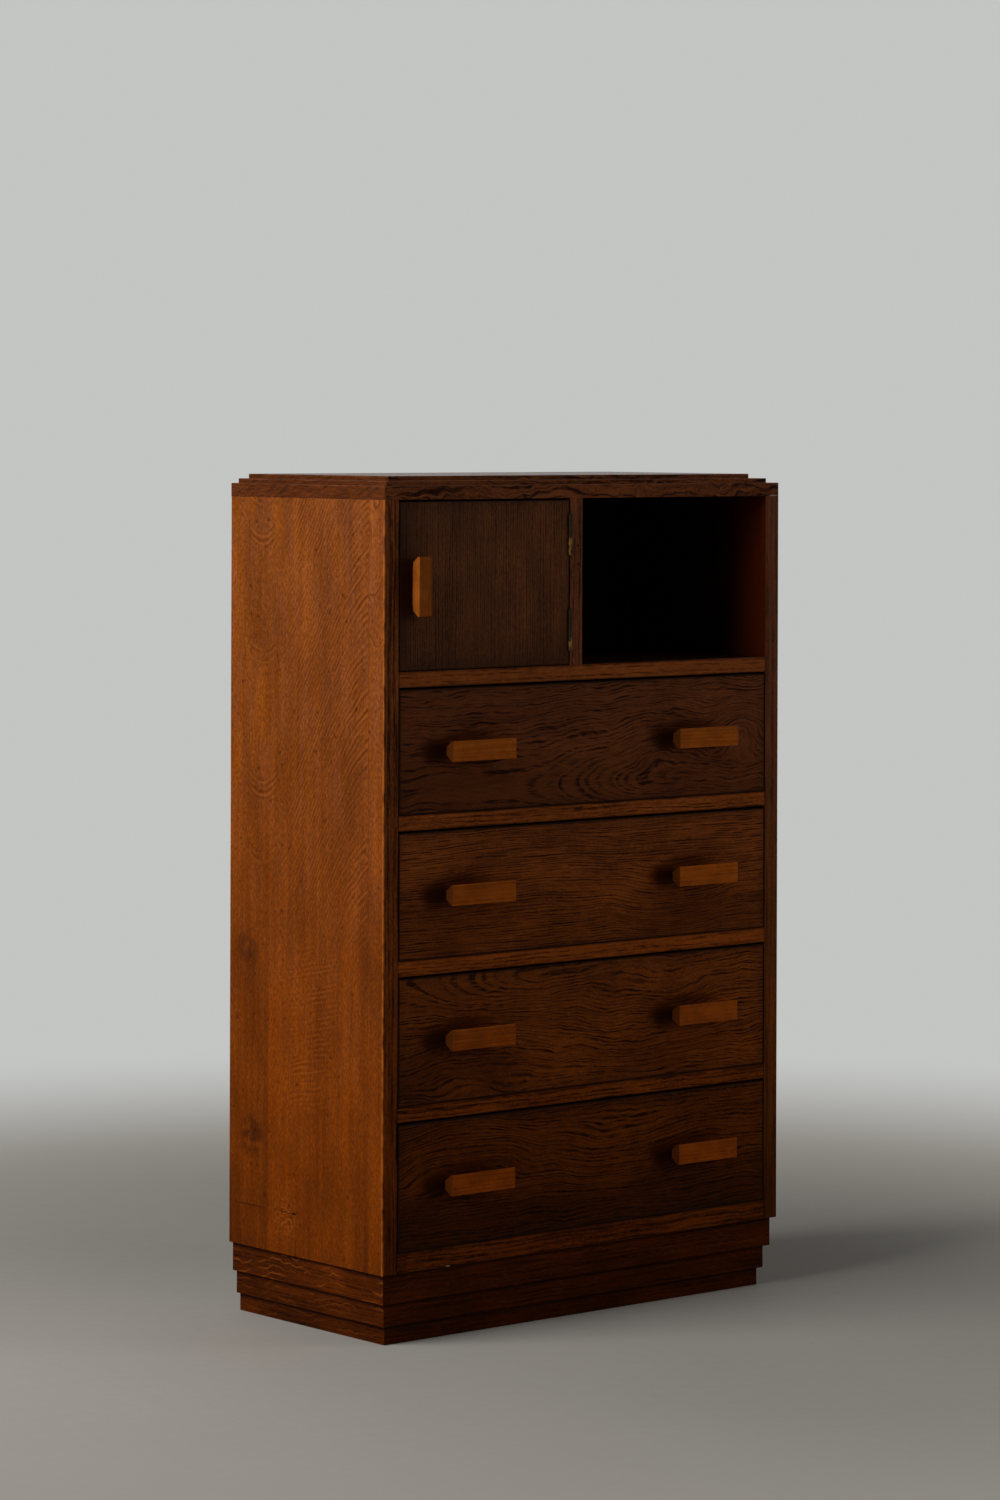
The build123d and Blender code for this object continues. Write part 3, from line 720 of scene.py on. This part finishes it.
door_oak = Finish("stained_oak_door", Specular_IOR_Level=0.035)
across = door_oak.x + door_oak.noise(door_oak.z * 5.0, door_oak.x * 12.0, 7.0, 2.0) * 0.003
stain = (door_light, door_dark, door_pore)
colour, pores, height = oak(
    door_oak, door_oak.z, across, door_oak.y, across, 17.0, stain,
    pores=0.68, run=170.0, fine=620.0, growth=0.0034, streaks=0.6, contrast=1.25,
)
worn = door_oak.noise(door_oak.x * 14.0, door_oak.z * 14.0, 2.0, 3.0)
gap = edge_gap(door_oak, door_low, door_high)
rim = (gap - worn * 0.02).between(0.008, -0.008) * 0.3
# A rim of grime and a thin line of painted gap shade along the edges.
colour = door_oak.mix(rim.most(gap.between(0.0028, 0.0006) * 0.7), colour, grime_and_gap_shade)
touched = (door_low.x + touched_width - door_oak.x).between(0.0, touched_width) * (1.2 - worn)
darkened = touched.most((door_oak.z - door_low.z).between(0.06, 0.0) * 0.5)
colour = door_oak.mix(darkened * 0.6, colour, grime_and_gap_shade)
# Hand grime and a painted shadow of the handle beside it.
handle_shadow_and_grime = door_oak.spot(x=(-0.281, 0.030), z=(0.886, 0.052))
colour = door_oak.mix(handle_shadow_and_grime * 0.8, colour, handle_grime_and_shadow)
door_oak.surface(colour, pores * 0.2 + 0.45, height, relief=0.0002)
door_oak.put_on("door_panel")


# Handles
# Plain bar handles of paler oak, with a flat front, bevelled ends and a narrow neck behind.
# Their long grain has a honey polish, and their end grain is darker.
honey_light = (0.40, 0.090, 0.0046, 1.0)
honey_dark = (0.23, 0.047, 0.0023, 1.0)
honey_pore = (0.12, 0.025, 0.0018, 1.0)
honey_end = (0.062, 0.017, 0.0026, 1.0)
bar_tones = [1.02, 1.00, 0.84, 0.82]


def handle_finish(name, long_axis, seed, tone):
    """Honey oak with straight grain along the bar; faces square to the bar show dark end grain."""
    finish = Finish(name, Specular_IOR_Level=0.05)
    along, across = (finish.x, finish.z) if long_axis == "X" else (finish.z, finish.x)
    stain = (honey_light, honey_dark, honey_pore)
    colour, pores, height = oak(
        finish, along, across, finish.y, across, seed, stain,
        pores=0.22, run=160.0, fine=520.0, growth=0.0055, streaks=0.5,
    )
    blotch = finish.noise(finish.x * 45.0, finish.y * 45.0, finish.z * 60.0 + seed, 2.0).between(0.25, 0.75)
    colour = finish.multiply(colour, (blotch * 0.3 + 0.85) * tone)
    end = finish.facing(long_axis).between(0.5, 0.85)
    colour = finish.mix(end * 0.85, colour, honey_end)
    finish.surface(colour, pores * 0.15 + 0.36, height, relief=0.00012)
    return finish


handle_finish("honey_oak_upright", "Z", seed=3.0, tone=0.80).put_on("door_handle")
for n, tone in enumerate(bar_tones, start=1):
    bar_finish = handle_finish(f"honey_oak_bar_{n}", "X", seed=n * 11.0, tone=tone)
    bar_finish.put_on(f"drawer_{n}_handle_left", f"drawer_{n}_handle_right")


# Drawers
# Four dovetailed boxes of plain softwood behind flat-sawn oak fronts, which are stained dark brown.
# Each front is its own board, so its rings swell, point and turn in their own way.
front_light = (0.250, 0.059, 0.0078, 1.0)
front_dark = (0.105, 0.0250, 0.0042, 1.0)
front_pore = (0.013, 0.0042, 0.0018, 1.0)
handle_low, handle_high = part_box("drawer_1_handle_right")
handle_offset = (handle_low.x + handle_high.x) / 2

# Hand grime and painted shadow round a handle: its place along and up from the handle's middle,
# its half width and its half height.
grime_and_shadow_beside = (-0.054, 0.001, 0.036, 0.020)
grime_and_shadow_over = (-0.014, 0.014, 0.056, 0.012)
grime_and_shadow_below = (-0.028, -0.038, 0.120, 0.050)


def drawer_front(
    number, *, cast, ends, foot, under, contrast, run, growth, sway, heart, swells, eyes, shades
):
    """A flat-sawn front. Its rings are cones round a heart behind the face: the ring is the root of the
    sum of the squares of the height over the heart and of its depth, which goes from deep to shallow
    between two places along the board and makes the rings point. A swell lifts the fibres, and round an
    eye the rings turn to ovals.

    cast is the hue of the stain, ends how light it is at the left and the right, foot how light it is
    along the lower edge, and under how strong the hand grime and painted shadow below the handles are.
    contrast, run and growth are those of the oak, and sway is how far its fibres wobble, in metres. heart
    gives its height, its depths and their two places. Each swell, eye and shade has its place along and up
    the front, a half width, a half height and how strong it is, which for a swell is its lift in metres.
    """
    low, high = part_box(f"drawer_{number}_front")
    finish = Finish(f"stained_oak_drawer_{number}", Specular_IOR_Level=0.03)
    seed = number * 13.0
    up = finish.z - low.z
    wobble = (finish.noise(finish.x * 10.0, finish.z * 16.0, seed, 3.0) - 0.5) * sway
    across = up + wobble
    for x, z, width, tall, lift in swells:
        across = across - finish.spot(x=(x, width), z=(low.z + z, tall)) * lift
    heart_height, deep, shallow, deep_place, shallow_place = heart
    over_heart = across - heart_height
    heart_depth = finish.x.between(shallow_place, deep_place) * (deep - shallow) + shallow
    ring = (over_heart * over_heart + heart_depth * heart_depth).apply("SQRT")
    for x, z, width, tall, strength in eyes:
        near = finish.spot(x=(x, width), z=(low.z + z, tall)) * strength
        oval = (((finish.x - x) * (tall / width)) ** 2.0 + (up - z) ** 2.0).apply("SQRT")
        ring = ring + (oval + wobble * 1.2 - ring) * near
        across = across + (oval - across) * near * 0.7
    stain = (front_light, front_dark, front_pore)
    colour, pores, height = oak(
        finish, finish.x, across, finish.y, ring, seed, stain,
        pores=0.92, run=run, fine=500.0, growth=growth, contrast=contrast,
    )

    # The board's own hue and tone, and places where its pores are dark.
    worn = finish.noise(finish.x * 16.0, finish.z * 16.0, seed + 4.0, 3.0)
    left, right = ends
    tone = finish.x.between(low.x, high.x) * (right - left) + left
    tone = tone * (1.0 - (up + worn * 0.03).between(0.095, 0.030) * (1.0 - foot))
    colour = finish.multiply(finish.multiply(colour, tone), cast)
    for x, z, width, tall, strength in shades:
        near = finish.spot(x=(x, width), z=(low.z + z, tall)) * strength
        colour = finish.mix(near * (pores * 0.7 + worn * 0.6), colour, front_pore)

    # Grime along the edges with a thin line of painted gap shade, and hand grime with painted shadow
    # beside, over and below each handle.
    gap = edge_gap(finish, low, high)
    rim = (gap - worn * 0.03).between(0.004, -0.016) * 0.3
    colour = finish.mix(rim.most(gap.between(0.0032, 0.0010) * 0.9), colour, grime_and_gap_shade)
    middle = (low.z + high.z) / 2
    for handle in (-handle_offset, handle_offset):
        beside, over, below = [
            finish.spot(x=(handle + x, width), z=(middle + z, tall))
            for x, z, width, tall in (grime_and_shadow_beside, grime_and_shadow_over, grime_and_shadow_below)
        ]
        handle_shadow_and_grime = (beside * 0.95).most(over * 0.65).most(below * (worn * 0.6 + 0.4) * under)
        colour = finish.mix(handle_shadow_and_grime, colour, handle_grime_and_shadow)
    finish.surface(colour, pores * 0.2 + 0.5, height, grain_relief)
    finish.put_on(f"drawer_{number}_front")


drawer_front(
    1, cast=(1.0, 1.07, 1.40, 1.0), ends=(0.70, 0.82), foot=0.88, under=0.22,
    contrast=0.8, run=50.0, growth=0.0040, sway=0.030,
    heart=(0.0275, 0.049, 0.004, -0.12, 0.16),
    swells=[(0.13, 0.085, 0.10, 0.060, 0.012)],
    eyes=[(0.250, 0.0745, 0.075, 0.054, 0.6)],
    shades=[
        (-0.21, 0.040, 0.13, 0.024, 0.25),
        (0.13, 0.090, 0.06, 0.030, 0.8),
        (0.20, 0.050, 0.08, 0.025, 0.5),
    ],
)
drawer_front(
    2, cast=(1.0, 1.03, 1.05, 1.0), ends=(1.10, 1.06), foot=0.92, under=0.55,
    contrast=1.2, run=44.0, growth=0.0031, sway=0.007,
    heart=(-0.30, 0.05, 0.05, -0.10, 0.10),
    swells=[(0.14, 0.045, 0.11, 0.060, -0.010), (-0.10, 0.100, 0.16, 0.060, 0.006)],
    eyes=[],
    shades=[(-0.25, 0.075, 0.08, 0.030, 0.4), (0.20, 0.030, 0.10, 0.030, 0.4)],
)
drawer_front(
    3, cast=(1.0, 1.05, 1.25, 1.0), ends=(0.80, 1.00), foot=1.0, under=0.45,
    contrast=1.3, run=62.0, growth=0.0043, sway=0.026,
    heart=(0.143, 0.036, 0.004, -0.30, -0.06),
    swells=[(-0.16, 0.050, 0.12, 0.060, 0.014), (0.10, 0.075, 0.13, 0.070, -0.012)],
    eyes=[],
    shades=[(-0.28, 0.030, 0.10, 0.060, 0.7), (0.12, 0.075, 0.07, 0.040, 0.4)],
)
drawer_front(
    4, cast=(1.0, 1.02, 1.05, 1.0), ends=(0.53, 0.66), foot=0.50, under=0.35,
    contrast=1.5, run=66.0, growth=0.0046, sway=0.020,
    heart=(-0.15, 0.05, 0.05, -0.25, 0.25),
    swells=[(-0.19, 0.110, 0.12, 0.060, 0.020), (0.06, 0.080, 0.12, 0.060, -0.012)],
    eyes=[],
    shades=[(0.20, 0.020, 0.22, 0.060, 0.7), (-0.25, 0.030, 0.10, 0.050, 0.5)],
)

for n in range(1, 5):
    box_sides = softwood(f"plain_softwood_box_{n}_sides", "Y", seed=n * 6.0, tone=1.0)
    box_sides.put_on(f"drawer_{n}_left_side", f"drawer_{n}_right_side")
    box_back = softwood(f"plain_softwood_box_{n}_back", "X", seed=n * 6.0 + 2.0, tone=1.0)
    box_back.put_on(f"drawer_{n}_back", f"drawer_{n}_bottom")


# Floor and light
# A plain pale floor that fades into the same pale grey as the background, one large soft lamp on the left
# and a weak one on the right, and a level camera at the photograph's height and angle.
background = (0.55, 0.56, 0.55, 1.0)
ambient = (0.042, 0.042, 0.0415, 1.0)
floor_dark = (0.37, 0.348, 0.313, 1.0)
floor_light = (0.49, 0.462, 0.418, 1.0)
floor_far = (0.285, 0.268, 0.242, 1.0)
floor_radius = 9.0
floor_fade = (0.5, 1.6)
floor_haze = (1.15, 2.3)
ring_count = 24
spoke_count = 96

# A disc: its points are radius times the cosine and the sine of an angle, over rings and spokes.
angle = np.linspace(0.0, 2.0 * math.pi, spoke_count, endpoint=False)
radius = np.linspace(0.0, floor_radius, ring_count + 1)[1:, None]
rim_points = np.stack(
    [radius * np.cos(angle), radius * np.sin(angle), np.zeros((ring_count, spoke_count))], axis=-1
).reshape(-1, 3)
floor_points = np.vstack([[[0.0, 0.0, 0.0]], rim_points])
spoke = np.arange(spoke_count)
following = (spoke + 1) % spoke_count
centre_faces = np.stack([np.zeros(spoke_count, int), spoke + 1, following + 1], axis=1)
inner = 1 + spoke_count * np.arange(ring_count - 1)[:, None]
outer = inner + spoke_count
ring_faces = np.stack([inner + spoke, outer + spoke, outer + following, inner + following], axis=-1)
floor_faces = centre_faces.tolist() + ring_faces.reshape(-1, 4).tolist()
floor_mesh = bpy.data.meshes.new("floor")
floor_mesh.from_pydata(floor_points.tolist(), [], floor_faces)
floor = bpy.data.objects.new("floor", floor_mesh)
bpy.context.scene.collection.objects.link(floor)


def seen_directly(graph):
    """1 for what the camera sees, also in a mirror or through glass, and 0 for what lights the chest."""
    camera_ray = graph.node("ShaderNodeLightPath", {}, {}, "Is Camera Ray")
    mirrored = camera_ray.output("Is Glossy Ray")
    through_glass = camera_ray.output("Is Transmission Ray")
    return camera_ray.most(mirrored).most(through_glass)


floor_finish = Finish("pale_floor", Specular_IOR_Level=0.1, Roughness=0.7)
cloud = floor_finish.noise(floor_finish.x * 1.6, floor_finish.y * 1.6, 0.0, 4.0)
fleck = floor_finish.noise(floor_finish.x * 60.0, floor_finish.y * 60.0, 0.0, 3.0)
floor_finish.paint(floor_finish.mix(cloud * 0.7 + fleck * 0.3, floor_dark, floor_light))
distance = (floor_finish.x * floor_finish.x + floor_finish.y * floor_finish.y).apply("SQRT")
away = distance.between(*floor_fade) * seen_directly(floor_finish)
far_colour = floor_finish.mix(distance.between(*floor_haze), floor_far, background)
glow = floor_finish.node("ShaderNodeEmission", {}, {"Color": far_colour})
lit = Value(floor_finish, floor_finish.shader.outputs["BSDF"])
blended = floor_finish.node("ShaderNodeMixShader", {}, {0: away, 1: lit, 2: glow})
floor_finish.join(blended, floor_finish.tree.nodes["Material Output"], "Surface")
floor_mesh.materials.append(floor_finish.material)

world = bpy.data.worlds.new("studio")
bpy.context.scene.world = world
world.use_nodes = True
studio = Graph(world.node_tree)
sky = studio.mix(seen_directly(studio), ambient, background)
studio.join(sky, studio.tree.nodes["Background"], "Color")


def soft_lamp(name, location, target, width, tall, power):
    """A rectangular lamp that points from its place at a target."""
    lamp = bpy.data.lights.new(name, "AREA")
    lamp.shape = "RECTANGLE"
    lamp.size = width
    lamp.size_y = tall
    lamp.energy = power
    lamp_object = bpy.data.objects.new(name, lamp)
    lamp_object.location = location
    away_from = lamp_object.location - target
    lamp_object.rotation_euler = away_from.to_track_quat("Z", "Y").to_euler()
    bpy.context.scene.collection.objects.link(lamp_object)
    return lamp_object


chest_middle = (cad_box[0] + cad_box[1]) / 2
window_place = (-2.4, 0.15, 1.75)
fill_place = (2.5, -2.5, 1.25)
soft_lamp("window_lamp", window_place, chest_middle, width=1.8, tall=1.6, power=62.0)
fill = soft_lamp("fill_lamp", fill_place, chest_middle, width=1.2, tall=1.0, power=24.5)
fill.visible_glossy = False

# The camera, fitted to the photograph: its image's height, horizon and focal length are in pixels.
image_height = 1500.0
horizon_row = 423.2
focal_length = 4571.3
sensor = 36.0
camera_place = (-3.6619, -4.28645, 1.0805)
camera_roll = -0.0032
camera_heading = -0.70362
camera_data = bpy.data.cameras.new("camera")
camera_data.sensor_width = sensor
camera_data.lens = focal_length / image_height * sensor
camera_data.shift_y = (horizon_row - image_height / 2) / image_height
camera = bpy.data.objects.new("camera", camera_data)
camera.location = camera_place
camera.rotation_euler = (math.pi / 2, camera_roll, camera_heading)
bpy.context.scene.collection.objects.link(camera)
bpy.context.scene.camera = camera
bpy.context.scene.view_settings.view_transform = "Standard"
